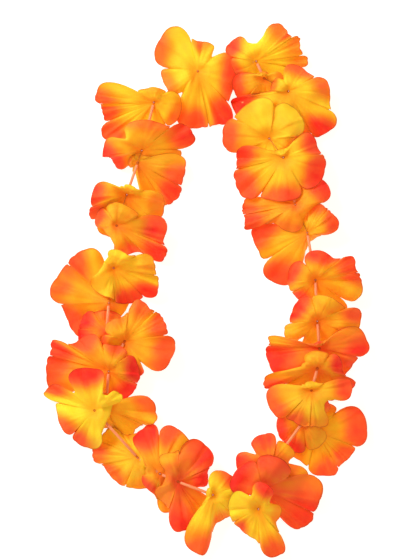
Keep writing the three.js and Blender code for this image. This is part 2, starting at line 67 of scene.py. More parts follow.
# Outline of a lobe, in shares of its length unless it says otherwise.
WIDEST_AT = 0.74
WIDEST_SINE = 0.86  # sine of the widest half-angle of a lobe
NOTCH = 0.68  # how far out two full lobes part
WIDE_NOTCH = 0.5  # the same where the lobes stand well apart
LAPPED_NOTCH = 0.96  # the same where one lobe lies well over the next
FILLED = [0.6, 1, 1.7]  # share of the angle between two lobes that they fill, at each of the three notches
GAP_DIP = 0.08  # how much further in the fabric ends midway between two lobes
LEAST_REACH = 0.006  # metres from the hole's edge to the end of the fabric, however near its end is
SCALLOPS = (2.4, 4.2)  # round one rim
SCALLOP_DEPTHS = (0.008, 0.026)
SCALLOP_DRIFT = 0.12  # how unevenly the scallops are spaced
SCALLOP_FULLNESS = 0.7  # power of a scallop's curve
SQUARENESS = (3.2, 6.0)  # power of a rim's curve
SKEWS = (-0.04, 0.04)

# Fineness.
COLUMNS = 28  # across one lobe
GAP_COLUMNS = 2  # between two lobes
OUTERMOST = 0.985  # place across a lobe of its outermost columns
ROOM_USED = 0.97  # share of a lobe's room that its columns may take
ROWS = 25
ROW_EASE = 0.72  # how much closer the rows stand at the hub and the rim than midway
TUBE_SIDES = 20
PLY_SIDES = 6
THREAD_STEP = 0.0008

# Folds of the fabric. Heights are in metres, places and widths in shares of half a lobe's breadth.
# GROWS is the shares of a lobe's length between which a fold comes up, and FADES those between which it goes.
GROOVE_DEPTH = 0.0008
GROOVE_WIDTH = 0.14
WAVE_HEIGHTS = (0.0012, 0.003)
WAVE_WIDTHS = (0.25, 0.45)
WAVE_PLACES = (-0.7, 0.7)
WAVE_DRIFTS = (-0.3, 0.3)
WAVE_GROWS = (0.25, 1)
CREASE_HEIGHTS = (0.0005, 0.0011)
CREASE_WIDTH = 0.13
CREASE_PLACES = (-0.6, 0.6)
CREASE_DRIFTS = (-0.4, 0.4)
CREASE_GROWS = (0.2, 0.5)
CREASE_FADES = (0.7, 1)
CREASE_LOSS = 0.7  # share of its height that a crease loses at the rim
RIPPLES = (1.0, 2.0)
RIPPLE_HEIGHT = 0.0014
CURL_HEIGHTS = (-0.003, 0.0018)
CURL_GROWS = (0.78, 1)
PLEATED = 0.65  # share of the lobes that have a pleat
PLEAT_HEIGHTS = (0.0005, 0.0011)
PLEAT_PLACES = (-0.45, 0.45)
PLEAT_SLANTS = (-0.5, 0.5)
PLEAT_EDGE = 0.03
PLEAT_FALL = 0.3
PLEAT_GROWS = (0.2, 0.6)
LAP_HEIGHTS = (0.0005, 0.0011)
LAP_FALL = 0.3
LAP_GROWS = (0.2, 0.55)
SIDES_GROW = (1, 0.85)  # places across a lobe between which all its folds come up
CRUMPLES = 5
CRUMPLE_HEIGHT = 0.0006
CRUMPLE_LENGTHS = (0.018, 0.042)
CRUMPLE_GROWS = (0.1, 0.6)

# How a sheet is laid, in metres.
EVENED_OVER = 0.0045  # distance over which the CAD sheet's facets are evened out
EASED_OVER = 0.0015  # distance over which a raised place is eased into the sheet round it
EASING_ROUNDS = 6
HELD_GROWS = (0.012, 0.004)  # distances from the hub between which the thread comes to hold a sheet
STRETCH_STARTS = 0.0015  # distance from the hub from which a sheet keeps under a stretch of the loop
STRETCH_MARGIN = 0.001  # room beside a stretch
FAR_ABOVE = 1.0
PROBE_HEIGHT = 0.2
RELIEF_CELL = 0.001
RELIEF_MARGIN = 0.02
FACE_FILL = 5  # points along each side of a face that mark it on the relief
STRETCH_FILL = (60, 4)  # points along and across a stretch that mark it on the relief

# The print of the fabric, from the yellow of the hub at 0 to the deepest red at 1, in screen colours.
# The deepest red is the red as it looks in shade, so it is partly painted shade.
FRONT_STOPS = [
    (0.0, (255, 226, 52)),
    (0.25, (255, 190, 44)),
    (0.5, (255, 148, 36)),
    (0.75, (255, 98, 50)),
    # Red as it looks in shade: partly painted shade.
    (1.0, (250, 46, 40)),
]
BACK_STOPS = [
    (0.0, (255, 232, 120)),
    (0.5, (255, 190, 110)),
    (1.0, (252, 130, 96)),
]
RED_DEPTH = 0.3  # how far in from the tip the faintest red goes, as a share of the length
RED_DEPTH_GAIN = 0.28  # what a redness of 1 adds to that
RED_BREADTH = 1.6  # of a red that leans to no side, in half breadths of the lobe
RED_BREADTH_LOSS = 0.65  # what leaning fully to one side takes from that
RED_LEAN = 0.9
RED_GROWS = (1.15, 0.35)
HUB_TINT = 0.2  # how much warmer the hub is than the yellow round it
HUB_TINT_GROWS = (0.42, 0)
STREAK = 0.05
STREAK_WINDOW = np.hanning(9) / 3  # evens the streaks out over neighbouring columns
STREAK_GROWS = (0.05, 0.5)
MOTTLE = 0.36
MOTTLE_SCALE = 48
MOTTLE_DETAIL = 3

# Brown at the hot-cut rims and round the pierced holes: partly the melted edge of the fabric, partly painted
# shade that darkens each rim and the inside of each hole.
BROWN_AND_SHADE = (160, 60, 24)
# Along each rim: a dark line, partly the melted cut edge and partly painted shade at the edge.
RIM_WEAR_AND_SHADE = 0.7
RIM_WEAR_AND_SHADE_GROWS = (0.965, 1)
# Round each hole: the melted edge of the pierced hole, and painted shade for the dark of the hole itself.
HOLE_WEAR_AND_SHADE = 0.8
HOLE_WEAR_AND_SHADE_GROWS = (HOLE_RADIUS + 0.0012, HOLE_RADIUS + 0.0003)

# Surfaces.
WEAVE_SCALE = 1400
WEAVE_DETAIL = 2
WEAVE_STRENGTH = 0.25
WEAVE_DEPTH = 0.0003
PETAL_FINISH = {
    "Roughness": 0.7,
    "Specular IOR Level": 0.15,
    "Subsurface Weight": 0.35,
    "Subsurface Radius": (1.0, 0.45, 0.15),
    "Subsurface Scale": 0.004,
}
TUBE_COLOUR = (1.0, 0.6, 0.43)
TUBE_FINISH = {
    "Roughness": 0.45,
    "Specular IOR Level": 0.3,
    "Subsurface Weight": 0.4,
    "Subsurface Radius": (1.0, 0.6, 0.4),
    "Subsurface Scale": 0.002,
}
# Tan rather than white, so that the thread seen in each hub's hole reads dark: partly the thread's colour,
# partly painted shade.
THREAD_COLOUR_AND_HOLE_SHADE = (0.8, 0.45, 0.18)
THREAD_FINISH = {"Roughness": 0.85}
FLOOR_HALF = 3.0
FLOOR_FINISH = {
    "Base Color": (0.5, 0.5, 0.5, 1),
    "Roughness": 0.9,
    "Specular IOR Level": 0.0,
    "Emission Color": (1, 1, 1, 1),
    "Emission Strength": 0.8,
}

# Light.
ROOM_COLOUR = (1, 0.8, 0.55, 1)
ROOM_STRENGTH = 0.76
WINDOW_PLACE = (-1.0, 1.0, 1.2)
WINDOW_SIZE = 0.8
WINDOW_POWER = 25


class Flower(NamedTuple):
    """A flower's hub, level in the pile, warmth of its yellow and lobes.

    The hub is a photograph pixel and a height in millimetres. A lobe is the photograph pixel of its tip, its
    share of the full width, its redness and the side that the red leans to. A redness above 1 is the deepest
    red reaching further in. The side is from -1, clockwise of the lobe's middle seen from above, to 1. On a
    few lobes that lie in shade the redness or its side is set to darken the shaded part: painted shade.
    """

    hub: tuple
    level: float
    warmth: float
    lobes: list


FLOWERS = [
    Flower((198, 72, 18), 1, 0.22, [
        (162, 36, 1.2, 0.75, 0.65), (203, 42, 0.5, 0.65, 0.4), (238, 80, 1.1, 0.9, 0),
        (222, 125, 1, 1, 0.4), (196, 129, 1, 0.85, 0), (164, 84, 0.6, 0.65, 0),
    ]),
    Flower((154, 103, 20), 2, 0.24, [
        (96, 95, 0.85, 0.8, 0.6), (102, 111, 0.6, 0.85, 0.3), (107, 141, 0.9, 0.85, -0.2),
        # The red of the lobe at (182, 107) leans to its lower end, which lies in shade: painted shade.
        (146, 144, 1, 0.65, 0), (182, 107, 1, 0.6, -0.6), (155, 88, 0.45, 0.5, 0),
    ]),
    Flower((142, 151, 21), 3, 0.32, [
        (103, 155, 0.75, 0.98, 0.4), (112, 160, 0.55, 0.9, 0), (174, 172, 1, 0.4, 0),
        (192, 131, 0.85, 0.98, 0), (150, 121, 1, 0.65, 0),
    ]),
    Flower((138, 163, 20), 3.3, 0.36, [
        (186, 169, 1, 0.8, -0.7), (174, 202, 1, 0.92, 0.3), (158, 207, 0.6, 0.6, 0),
        (129, 160, 0.6, 0.5, 0), (141, 154, 0.5, 0.5, 0),
    ]),
    Flower((127, 195, 22), 4, 0.36, [
        (92, 197, 0.75, 0.88, 0.2), (89, 213, 0.4, 0.85, 0), (110, 237, 0.85, 0.45, 0),
        (146, 241, 1, 0.15, 0), (165, 206, 1, 0.55, 0), (134, 187, 1, 0.1, 0),
    ]),
    Flower((117, 226, 21), 4.5, 0.4, [
        (97, 214, 0.5, 0.75, 0), (133, 253, 0.65, 0.72, 0), (165, 258, 1, 0.95, 0),
        (166, 235, 0.9, 0.95, 0), (120, 203, 1, 0.4, 0),
    ]),
    Flower((114, 268, 22), 5.5, 0.24, [
        (104, 296, 0.8, 0.3, 0), (128, 304, 1, 0.92, 0), (159, 288, 1.05, 1, -0.8),
        (155, 263, 1, 0.45, 0), (124, 252, 0.8, 0.2, 0),
    ]),
    Flower((109, 303, 20), 5, 0.36, [
        (79, 252, 0.9, 0.88, 0.7), (54, 281, 1.25, 0.68, 0), (69, 325, 1.1, 0.86, 0),
        # The lobe at (92, 345) lies in shade, and its full red is partly painted shade.
        (92, 345, 0.8, 1, 0), (138, 286, 0.5, 0.88, 0),
    ]),
    Flower((107, 331, 21), 5.2, 0.55, [
        (78, 340, 1, 1, 0), (98, 350, 1, 0.9, 0), (138, 346, 1, 0.6, 0),
        (104, 310, 0.6, 0.7, 0), (82, 318, 1, 0.95, 0),
    ]),
    Flower((125, 341, 23), 5.8, 0.36, [
        (146, 303, 0.85, 0.75, 0), (164, 319, 0.8, 0.9, -0.3), (174, 354, 1, 0.82, 0.2),
        (133, 378, 0.5, 0.92, 0), (103, 351, 0.6, 0.78, 0), (116, 318, 0.6, 0.62, 0),
    ]),
    Flower((109, 371, 22), 6.5, 0.36, [
        (46, 368, 1.2, 0.86, -0.3), (51, 345, 0.9, 0.95, 0.3), (80, 339, 0.9, 0.85, 0),
        (118, 345, 0.6, 0.78, 0), (140, 372, 0.9, 1, 0), (132, 394, 1, 1.3, 0),
    ]),
    Flower((106, 407, 22), 7, 0.32, [
        (157, 413, 1.1, 0.75, 0.7), (134, 433, 0.8, 0.3, 0), (104, 428, 0.6, 0.4, 0),
        (84, 408, 0.8, 0.4, 0), (110, 393, 0.5, 0.6, 0),
    ]),
    Flower((95, 410, 24), 8, 0.12, [
        (86, 367, 0.78, 1, 0), (46, 390, 0.47, 0.85, -0.6), (59, 421, 0.85, 0.75, 0.6),
        (84, 447, 0.75, 0.85, -0.6), (121, 393, 0.3, 0.05, 0),
    ]),
    Flower((138, 457, 20), 7.5, 0.26, [
        (92, 453, 1, 0.72, 0), (110, 476, 1, 0.72, 0), (143, 489, 1, 0.45, 0),
        # The lobe at (153, 463) lies in shade, and its deep red reaching far in is painted shade.
        (153, 463, 0.5, 1.2, 0), (130, 434, 0.5, 0.45, 0), (106, 430, 0.9, 0.3, 0),
    ]),
    Flower((160, 473, 22), 8.5, 0.42, [
        (181, 430, 1, 0.88, 0.8), (144, 427, 0.7, 1, 0), (196, 462, 0.8, 0.75, 0),
        (190, 500, 0.6, 0.85, 0), (168, 513, 1, 0.5, 0), (150, 491, 0.7, 0.85, 0),
    ]),
    Flower((178, 481, 22), 9, 0.62, [
        (186, 530, 0.95, 1.5, -0.3), (160, 500, 0.5, 0.6, 0), (168, 452, 0.5, 0.4, 0),
        (208, 446, 1.2, 0.95, -0.4), (208, 475, 0.45, 1.2, 0), (206, 512, 0.55, 0.4, 0),
    ]),
    Flower((213, 494, 23), 10, 0.17, [
        (197, 553, 1.4, 0.85, 0.4), (221, 521, 0.8, 0.6, 0), (243, 501, 1, 0.3, 0),
        (229, 473, 1, 0.82, -0.5), (206, 494, 0.3, 0.2, 0),
    ]),
    Flower((258, 508, 24), 11, 0.2, [
        (245, 533, 0.95, 0.78, -0.8), (277, 556, 1.05, 0.8, 0), (279, 518, 0.55, 0.5, 0),
        (265, 482, 0.5, 1.4, -0.3), (228, 508, 0.8, 0.1, 0),
    ]),
    Flower((262, 488, 22), 10.5, 0.68, [
        (321, 499, 1.1, 1.05, -0.9), (306, 526, 1.1, 0.92, 0), (261, 500, 0.5, 0.4, 0),
        (234, 472, 1, 0.98, 0), (275, 455, 0.8, 0.85, 0),
    ]),
    Flower((271, 465, 22), 9.5, 0.62, [
        (236, 464, 0.6, 0.98, 0.4), (263, 433, 0.62, 0.92, 0), (288, 444, 0.5, 0.45, 0),
        (304, 485, 0.72, 0.5, 0), (286, 500, 1, 0.88, 0),
    ]),
    Flower((303, 421, 21), 8.7, 0.46, [
        (277, 430, 0.7, 0.98, 0), (290, 451, 0.7, 0.98, 0), (320, 446, 0.6, 0.4, 0),
        (326, 398, 0.5, 0.75, 0), (290, 390, 0.5, 0.6, 0),
    ]),
    Flower((316, 431, 20), 8, 0.34, [
        (367, 427, 1.15, 0.92, 0), (346, 461, 0.85, 0.8, 0), (328, 476, 1.1, 0.88, 0.3),
        (292, 456, 0.9, 0.5, 0), (320, 400, 0.7, 0.7, 0),
    ]),
    Flower((311, 390, 24), 9.3, 0.28, [
        (269, 407, 0.95, 0.8, 0.3), (297, 424, 0.7, 0.72, 0), (318, 427, 0.5, 0.5, 0),
        (352, 386, 0.65, 0.85, 0), (313, 381, 0.5, 0.3, 0),
    ]),
    Flower((317, 368, 22), 7.5, 0.42, [
        (263, 383, 0.4, 0.88, 0.6), (290, 402, 0.7, 0.6, 0), (342, 393, 0.7, 0.6, 0),
        (355, 385, 0.6, 0.88, 0), (342, 366, 0.8, 0.95, 0), (316, 350, 0.9, 0.45, 0),
    ]),
    Flower((319, 348, 22), 7, 0.58, [
        (266, 356, 1.05, 1.2, 0), (268, 340, 0.5, 0.4, 0), (316, 342, 0.5, 0.85, 0),
        (367, 340, 1, 0.98, -0.8), (349, 371, 0.85, 0.78, 0),
    ]),
    Flower((317, 321, 22), 6, 0.4, [
        (294, 305, 0.8, 0.98, 0), (284, 334, 0.5, 0.35, 0), (330, 352, 1, 0.2, 0),
        (361, 318, 0.8, 0.82, 0.6), (330, 297, 1, 0.35, 0),
    ]),
    Flower((315, 280, 21), 5, 0.36, [
        (287, 281, 1, 0.88, -0.6), (299, 300, 0.9, 0.85, 0), (335, 320, 0.8, 0.6, 0),
        (362, 281, 0.95, 0.85, 0.7), (355, 263, 1, 0.92, 0), (328, 254, 1, 0.92, 0),
    ]),
    Flower((307, 233, 20), 3, 0.34, [
        (253, 241, 1, 0.92, -0.6), (277, 284, 1.1, 0.9, 0), (313, 240, 0.3, 0.4, 0),
        (335, 216, 1.1, 0.85, 0), (321, 204, 0.9, 0.75, 0), (300, 216, 0.6, 0.5, 0),
    ]),
    Flower((295, 205, 23), 3.5, 0.46, [
        (242, 208, 0.55, 0.82, 0.6), (244, 225, 0.8, 0.88, 0), (280, 228, 0.9, 0.6, 0),
        (324, 181, 0.8, 0.98, 0), (290, 182, 0.7, 0.5, 0),
    ]),
    Flower((283, 158, 26), 4.4, 0.23, [
        (236, 157, 0.9, 0.92, 0), (236, 187, 1.2, 0.88, 0), (280, 202, 1, 0.78, 0),
        (325, 171, 1.15, 0.96, 0), (316, 142, 0.9, 0.92, -0.3), (280, 150, 0.4, 0.3, 0),
    ]),
    Flower((269, 139, 24), 4, 0.21, [
        (222, 136, 1.05, 0.8, 0), (248, 104, 1, 0.4, 0.6), (300, 115, 1, 0.15, 0),
        (290, 151, 0.6, 0.45, 0), (262, 162, 0.7, 0.25, 0),
    ]),
    Flower((288, 92, 21), 2, 0.2, [
        (330, 93, 1, 0.68, 0.5), (330, 131, 1.2, 1, -0.5), (297, 139, 1, 0.7, 0),
        (231, 103, 1.1, 1, 0), (270, 90, 0.5, 0.6, 0), (302, 68, 0.7, 0.75, 0),
    ]),
    Flower((264, 79, 22), 1.6, 0.34, [
        (233, 90, 0.9, 0.82, 0), (256, 106, 0.7, 0.85, 0), (288, 104, 1, 0.6, 0),
        (282, 84, 0.5, 0.5, 0), (262, 73, 0.5, 0.6, 0),
    ]),
    Flower((256, 62, 19), 1, 0.17, [
        (300, 42, 0.75, 0.6, 0), (287, 31, 0.75, 0.75, 0), (308, 61, 0.33, 0.6, 0),
        (290, 84, 0.6, 0.1, 0), (236, 76, 1, 0.75, 0), (229, 44, 0.6, 0.92, 0.2),
    ]),
]

# Stretches of bare thread, by the index of the flower before them.
BARE_STRETCHES = (2, 4, 6, 8, 11, 17, 20, 23, 27, 29, 31)

# Levels of the stretches that don't lie midway between their two flowers' levels, by the same index.
STRETCH_LEVELS = {0: 0.8, 2: 3.5, 3: 3.5, 5: 4.4, 7: 5.3, 13: 7.4, 16: 9.9, 30: 1.9, 33: 0.5}


def on_plan(x, y):
    """The place in metres of a photograph pixel."""
    return np.array([(x - PLAN_CENTRE[0]) * PIXEL, (PLAN_CENTRE[1] - y) * PIXEL])


def smooth_step(low, high, value):
    """0 before low, 1 past high and a soft rise between. Where low is the larger, before means above it."""
    t = np.clip((value - low) / (high - low), 0, 1)
    return t * t * (3 - 2 * t)


def lobe_angles(flower):
    """The flower's lobes in order round its hub, with angle, length and half-angle."""
    hub = on_plan(*flower.hub[:2])
    lobes = []
    for x, y, width, redness, side in flower.lobes:
        reach = on_plan(x, y) - hub
        length = float(np.hypot(*reach))
        half_angle = math.asin(min(WIDEST_SINE, LOBE_HALF_WIDTH * width / (WIDEST_AT * length)))
        angle = math.atan2(reach[1], reach[0]) % (2 * math.pi)
        lobes.append({"angle": angle, "length": length, "half": half_angle, "red": redness, "side": side})
    return sorted(lobes, key=lambda lobe: lobe["angle"])


def angle_between(lobe, after):
    """The turn from the middle of one lobe on to the middle of the next."""
    return (after["angle"] - lobe["angle"]) % (2 * math.pi)


def notch_between(lobe, after):
    """How far out the fabric is whole between two neighbouring lobes."""
    filled = (lobe["half"] + after["half"]) / angle_between(lobe, after)
    return float(np.interp(filled, FILLED, [WIDE_NOTCH, NOTCH, LAPPED_NOTCH]))


def column(lobe, other, across, angle, share_of_room, outline, number):
    """One column of a sheet. The neighbour counts as much as the lobe itself where their rooms meet."""
    blend = 0.5 * share_of_room**4
    return {
        "across": across,
        "angle": angle,
        "length": lobe["length"] ** (1 - blend) * other["length"] ** blend,
        "outline": outline,
        "blend": blend,
        "half": lobe["half"],
        "red": lobe["red"],
        "side": lobe["side"],
        "other_red": other["red"],
        "other_side": other["side"],
        "lobe": number,
    }


def rim_of(random):
    """The scalloped rim of one lobe, as a function that gives the reach at a place across it."""
    scallops = random.uniform(*SCALLOPS)
    phase = random.uniform(0, math.pi)
    depth = random.uniform(*SCALLOP_DEPTHS)
    square = random.uniform(*SQUARENESS)
    skew = random.uniform(*SKEWS)

    def rim(across, notch):
        turns = (across + SCALLOP_DRIFT * across**2) * scallops * math.pi / 2
        scallop = abs(math.sin(phase + turns)) ** SCALLOP_FULLNESS
        outline = notch + (1 - notch) * math.sqrt(1 - abs(across) ** square) - depth * (1 - scallop)
        return outline * (1 + skew * math.sin(math.pi * across))

    return rim


def lobe_columns(number, lobe, before, after, random):
    """The columns across one lobe, from the side of the lobe before to the side of the lobe after."""
    start = angle_between(before, lobe) * lobe["half"] / (lobe["half"] + before["half"])
    end = angle_between(lobe, after) * lobe["half"] / (lobe["half"] + after["half"])
    backward = (start, notch_between(before, lobe), before)
    forward = (end, notch_between(lobe, after), after)
    rim = rim_of(random)
    found = []
    for across in np.linspace(-OUTERMOST, OUTERMOST, COLUMNS):
        room, notch, other = backward if across < 0 else forward
        turn = across * min(room * ROOM_USED, lobe["half"])
        angle = lobe["angle"] + turn
        found.append(column(lobe, other, across, angle, abs(turn) / room, rim(across, notch), number))
    return found


def gap_columns(number, lobe, after):
    """The columns between two lobes, where the fabric ends at the notch."""
    between = angle_between(lobe, after)
    end = between * lobe["half"] / (lobe["half"] + after["half"])
    beyond = between - end
    gap_start = lobe["angle"] + min(end * ROOM_USED, lobe["half"])
    gap_end = after["angle"] - beyond * min(ROOM_USED, after["half"] / beyond)
    gap = (gap_end - gap_start) % (2 * math.pi)
    found = []
    for k in range(GAP_COLUMNS):
        share = (k + 1) / (GAP_COLUMNS + 1)
        near, far, across = (lobe, after, 1) if share < 0.5 else (after, lobe, -1)
        outline = notch_between(lobe, after) * (1 - GAP_DIP * math.sin(math.pi * share))
        found.append(column(near, far, across, gap_start + gap * share, 1, outline, number))
    return found


def columns_of(lobes, random):
    """The columns of a flower's sheet in order round the hub, as arrays of what is known along each one."""
    found = []
    for i, lobe in enumerate(lobes):
        after = lobes[(i + 1) % len(lobes)]
        found += lobe_columns(i, lobe, lobes[i - 1], after, random)
        found += gap_columns(i, lobe, after)
    return {key: np.array([one[key] for one in found]) for key in found[0]}


def plan_of(flower, columns):
    """x, y, share of the way out and distance from the hub of every point, as arrays of rows by columns."""
    hub = on_plan(*flower.hub[:2])
    row = (np.arange(ROWS + 1) / ROWS)[:, None]
    share = row - ROW_EASE * np.sin(2 * math.pi * row) / (2 * math.pi)
    reach = share * columns["length"] * (1 - share * (1 - columns["outline"]))
    reach = np.maximum(HOLE_RADIUS + LEAST_REACH * share, reach)
    x = hub[0] + reach * np.cos(columns["angle"])
    y = hub[1] + reach * np.sin(columns["angle"])
    return x, y, share * np.ones_like(x), reach


def sheet_height(tree, x, y):
    """Height of the middle of the CAD sheet at one place, or no number where there is none."""
    top = tree.ray_cast(Vector((x, y, PROBE_HEIGHT)), Vector((0, 0, -1)))[0]
    bottom = tree.ray_cast(Vector((x, y, -PROBE_HEIGHT)), Vector((0, 0, 1)))[0]
    if top is None or bottom is None:
        return np.nan
    return (top.z + bottom.z) / 2


def heights_on(tree, x, y):
    """Height of the middle of the CAD sheet at each point, carried on past its edge and into its hole."""
    z = np.zeros_like(x)
    for j in range(x.shape[0]):
        for k in range(x.shape[1]):
            z[j, k] = sheet_height(tree, x[j, k], y[j, k])
    first = np.argmax(~np.isnan(z), axis=0)
    for k, j in enumerate(first):
        z[:j, k] = z[j, k]
    for j in range(1, x.shape[0]):
        missing = np.isnan(z[j])
        z[j][missing] = z[j - 1][missing]
    return z


def smoothed(z, reach, along, rounds=1):
    """Heights evened out over a distance along the fabric, round each ring and from row to row."""
    count = z.shape[1]
    frequency = np.fft.rfftfreq(count)
    least_spacing = 1e-5
    widest = count / 6
    for _ in range(rounds):
        spacing = np.maximum(2 * math.pi * reach.mean(axis=1) / count, least_spacing)
        sigma = np.minimum(along / spacing, widest)
        kept = np.exp(-2 * (math.pi * sigma[:, None] * frequency) ** 2)
        z = np.fft.irfft(np.fft.rfft(z, axis=1) * kept, count, axis=1)
        padded = np.vstack([z[:1], z, z[-1:] * 2 - z[-2:-1]])
        z = 0.25 * padded[:-2] + 0.5 * padded[1:-1] + 0.25 * padded[2:]
    return z


def either_way(heights, random, size=None):
    """A height, or as many as the size says, with up or down drawn for each."""
    return random.choice([-1, 1], size=size) * random.uniform(*heights, size=size)


def ridge(across, share, place, drift, width):
    """1 along a line that runs outward on a lobe, fading to both sides of it."""
    return np.exp(-(((across - place - drift * share) / width) ** 2))


def wave(across, share, random):
    """A broad wave that runs outward."""
    place = random.uniform(*WAVE_PLACES)
    width = random.uniform(*WAVE_WIDTHS)
    height = either_way(WAVE_HEIGHTS, random)
    drift = random.uniform(*WAVE_DRIFTS)
    return height * ridge(across, share, place, drift, width) * smooth_step(*WAVE_GROWS, share)


def crease(across, share, random):
    """A narrow crease that runs outward and is shallow at the rim."""
    place = random.uniform(*CREASE_PLACES)
    height = either_way(CREASE_HEIGHTS, random)
    drift = random.uniform(*CREASE_DRIFTS)
    line = ridge(across, share, place, drift, CREASE_WIDTH)
    kept = 1 - CREASE_LOSS * smooth_step(*CREASE_FADES, share)
    return height * line * smooth_step(*CREASE_GROWS, share) * kept


def ripple(across, share, random):
    """Ripples side by side, which grow fast towards the rim."""
    ripples = random.uniform(*RIPPLES)
    phase = random.uniform(0, 2 * math.pi)
    return RIPPLE_HEIGHT * np.sin(phase + across * ripples * math.pi) * share**4


def curl(_across, share, random):
    """The rim curled up or down."""
    return random.uniform(*CURL_HEIGHTS) * smooth_step(*CURL_GROWS, share)


def pleat(across, share, random):
    """A sharp step that runs outward, with a soft fall to both sides, on some of the lobes."""
    if random.uniform() >= PLEATED:
        return 0
    beside = across - random.uniform(*PLEAT_PLACES) - random.uniform(*PLEAT_SLANTS) * (share - 0.5)
    step = np.tanh(beside / PLEAT_EDGE) * np.exp(-np.abs(beside) / PLEAT_FALL)
    return random.uniform(*PLEAT_HEIGHTS) * random.choice([-1, 1]) * step * smooth_step(*PLEAT_GROWS, share)


def folds(columns, share, reach, random):
    """How far the folds of each lobe raise it, with a groove along its middle."""
    across = columns["across"]
    rise = np.zeros_like(share)
    for number in np.unique(columns["lobe"]):
        mine = (columns["lobe"] == number) & (np.abs(across) < 1)
        a = across[mine]
        s = share[:, mine]
        lift = -GROOVE_DEPTH * ridge(a, s, 0, 0, GROOVE_WIDTH) * np.sin(math.pi * s)
        for fold in (wave, wave, crease, ripple, curl, pleat):
            lift = lift + fold(a, s, random)
        near_hub = np.minimum(1, reach[:, mine] * columns["half"][mine] / LOBE_HALF_WIDTH)
        rise[:, mine] = lift * near_hub * smooth_step(*SIDES_GROW, np.abs(a))
    return rise


def crumple(x, y, random):
    """Broad waves that run across the whole flower, whatever its lobes."""
    rise = np.zeros_like(x)
    for _ in range(CRUMPLES):
        turn = random.uniform(0, math.pi)
        per_metre = 2 * math.pi / random.uniform(*CRUMPLE_LENGTHS)
        phase = random.uniform(0, 2 * math.pi)
        rise = rise + CRUMPLE_HEIGHT * np.sin(phase + per_metre * (x * math.cos(turn) + y * math.sin(turn)))
    return rise


def laps(columns, share, random):
    """The step where the side of one lobe lies over the side of the next."""
    across = columns["across"]
    number = columns["lobe"]
    steps = either_way(LAP_HEIGHTS, random, size=number.max() + 1)
    on_far_side = steps[number] * np.exp((across - 1) / LAP_FALL)
    on_near_side = steps[number - 1] * np.exp((-1 - across) / LAP_FALL)
    rise = on_far_side - on_near_side
    gap = np.abs(across) == 1
    rise[gap] = steps[number[gap]] * across[gap]
    return rise * smooth_step(*LAP_GROWS, share)


def on_faces(grid, s, t):
    """A grid's value on each of its faces, a share s of the way to the next row and t to the next column."""
    return (
        (1 - s) * (1 - t) * grid[:-1, :-1]
        + (1 - s) * t * grid[:-1, 1:]
        + s * (1 - t) * grid[1:, :-1]
        + s * t * grid[1:, 1:]
    )


class Relief:
    """The highest point of what is laid so far, on a grid over the plan."""

    def __init__(self, low, high):
        self.low = np.array([low.x, low.y]) - RELIEF_MARGIN
        size = (np.array([high.x, high.y]) + RELIEF_MARGIN - self.low) / RELIEF_CELL
        self.top = np.zeros(np.ceil(size).astype(int))

    def cells(self, x, y, border):
        """The cell of each point, kept at least a border inside the grid."""
        return [
            np.clip(((place - low) / RELIEF_CELL).astype(int), border, count - 1 - border)
            for place, low, count in zip((x, y), self.low, self.top.shape)
        ]

    def at(self, x, y):
        """The highest point in and round the cell of each point."""
        i, j = self.cells(x, y, 1)
        around = [self.top[i + a, j + b] for a in (-1, 0, 1) for b in (-1, 0, 1)]
        return np.max(around, axis=0)

    def lay(self, x, y, z):
        i, j = self.cells(x, y, 0)
        np.maximum.at(self.top, (i.ravel(), j.ravel()), z.ravel())

    def lay_sheet(self, x, y, z):
        """Lays a sheet given as rows by columns, closed round its columns."""
        closed = [np.hstack([grid, grid[:, :1]]) for grid in (x, y, z)]
        shares = np.linspace(0, 1, FACE_FILL)
        for s in shares:
            for t in shares:
                self.lay(*[on_faces(grid, s, t) for grid in closed])


def lifted(z, reach, floor):
    """Heights raised to clear a floor, with the raised places eased into the rest of the sheet."""
    needed = np.maximum(floor - z, 0)
    lift = needed
    for _ in range(EASING_ROUNDS):
        lift = np.maximum(smoothed(lift, reach, EASED_OVER), needed)
    return z + lift


def two_faces(places):
    """The points of a sheet's upper and lower face, from those of its middle."""
    along = np.gradient(places, axis=0)
    round_ring = np.roll(places, -1, axis=1) - np.roll(places, 1, axis=1)
    normals = np.cross(along, round_ring)
    least_length = 1e-12
    upward = 1e-9
    normals /= np.maximum(np.linalg.norm(normals, axis=-1, keepdims=True), least_length)
    normals *= np.sign(normals[..., 2:3] + upward)
    return places + normals * FABRIC / 2, places - normals * FABRIC / 2


def sheet_faces(rows, count):
    """The quads of a sheet: its upper face, its lower face, its rim and its hole."""
    here = np.arange(rows * count).reshape(rows, count)
    beside = np.roll(here, -1, axis=1)
    below = rows * count
    upper = np.stack([here[:-1], here[1:], beside[1:], beside[:-1]], axis=-1).reshape(-1, 4)
    lower = upper[:, ::-1] + below
    rim = np.stack([here[-1], here[-1] + below, beside[-1] + below, beside[-1]], axis=-1)
    hole = np.stack([beside[0], beside[0] + below, here[0] + below, here[0]], axis=-1)
    return upper, lower, rim, hole


def smooth_mesh(name, vertices, faces):
    """A mesh with smooth shading and no material yet."""
    mesh = bpy.data.meshes.new(name)
    mesh.from_pydata(np.asarray(vertices).tolist(), [], np.asarray(faces).tolist())
    mesh.polygons.foreach_set("use_smooth", np.ones(len(mesh.polygons), dtype=bool))
    return mesh


def placed(name, mesh):
    """A finished mesh as an object of the scene."""
    mesh.validate()
    obj = bpy.data.objects.new(name, mesh)
    bpy.context.collection.objects.link(obj)
    return obj


def mesh_object(name, vertices, faces, material):
    mesh = smooth_mesh(name, vertices, faces)
    mesh.materials.append(material)
    return placed(name, mesh)


